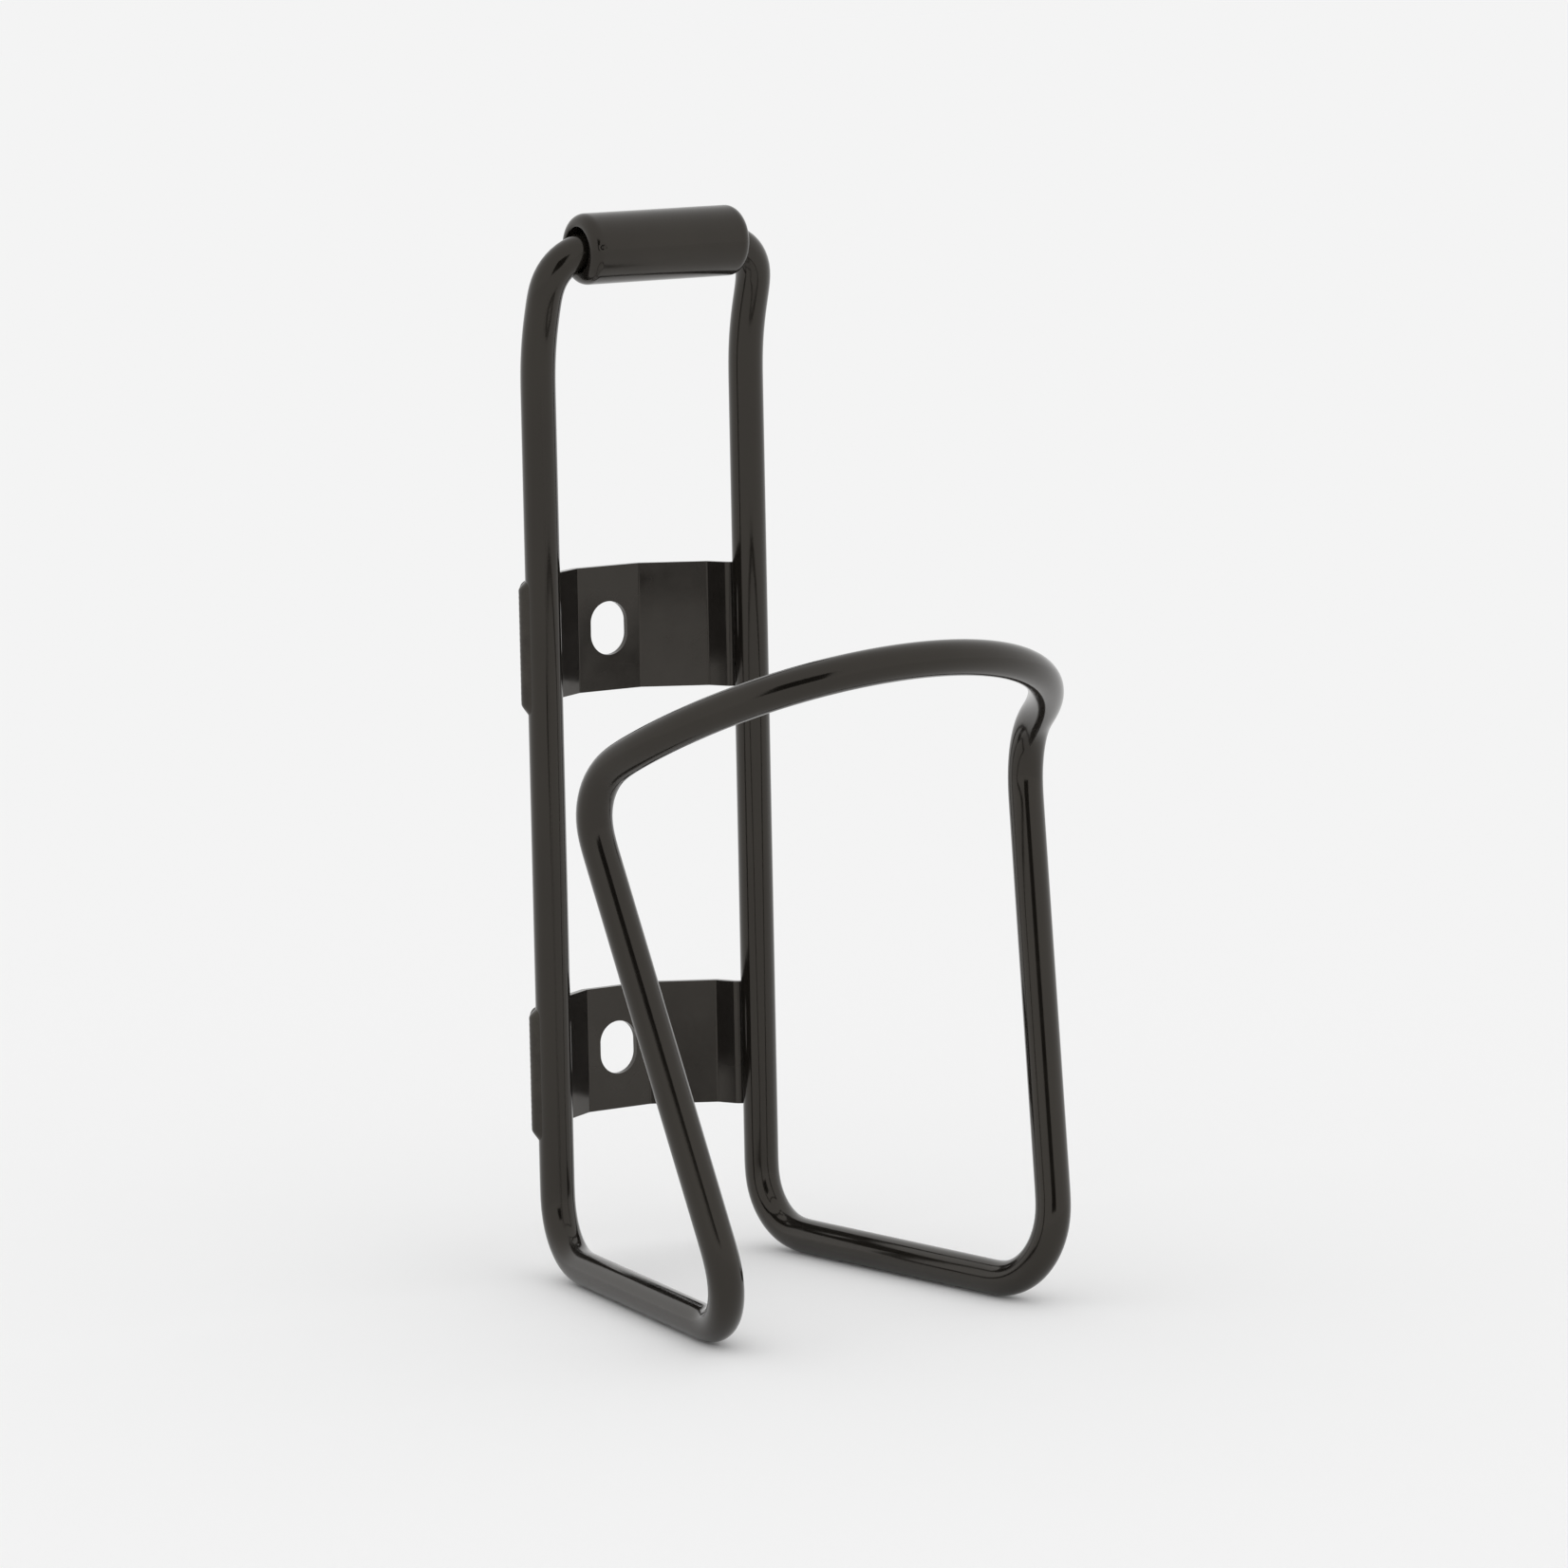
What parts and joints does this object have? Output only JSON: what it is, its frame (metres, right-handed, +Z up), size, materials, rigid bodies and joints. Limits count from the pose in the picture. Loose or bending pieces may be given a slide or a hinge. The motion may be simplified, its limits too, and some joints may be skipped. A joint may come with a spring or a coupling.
{
  "type": "water bottle cage",
  "caption": "Bent-rod bottle cage for a bicycle: a wire loop closed by a sleeve, held by welded sheet brackets with bolt slots.",
  "frame": {"origin": "middle of the cage's footprint, level with the underside of the rod's two runs", "axes": "+Z up along the rails, +Y towards the bicycle tube that the brackets bolt to, -Y towards the hoop, +X across the cage"},
  "size_m": [0.0794, 0.0886, 0.1585],
  "materials": {
    "coated_rod": "near-black glossy anodising on drawn rod",
    "sleeve_finish": "near-black satin-gloss coating on a turned sleeve",
    "coated_sheet": "near-black glossy anodising on bent sheet",
    "coated_weld": "near-black anodising over a weld bead"
  },
  "bodies": {
    "root": {"frame_rod": "coated_rod", "joint_sleeve": "sleeve_finish", "upper_bracket": "coated_sheet", "lower_bracket": "coated_sheet", "weld_upper_left_above": "coated_weld", "weld_upper_left_below": "coated_weld", "weld_upper_right_above": "coated_weld", "weld_upper_right_below": "coated_weld", "weld_lower_left_above": "coated_weld", "weld_lower_left_below": "coated_weld", "weld_lower_right_above": "coated_weld", "weld_lower_right_below": "coated_weld"}
  },
  "joints": []
}
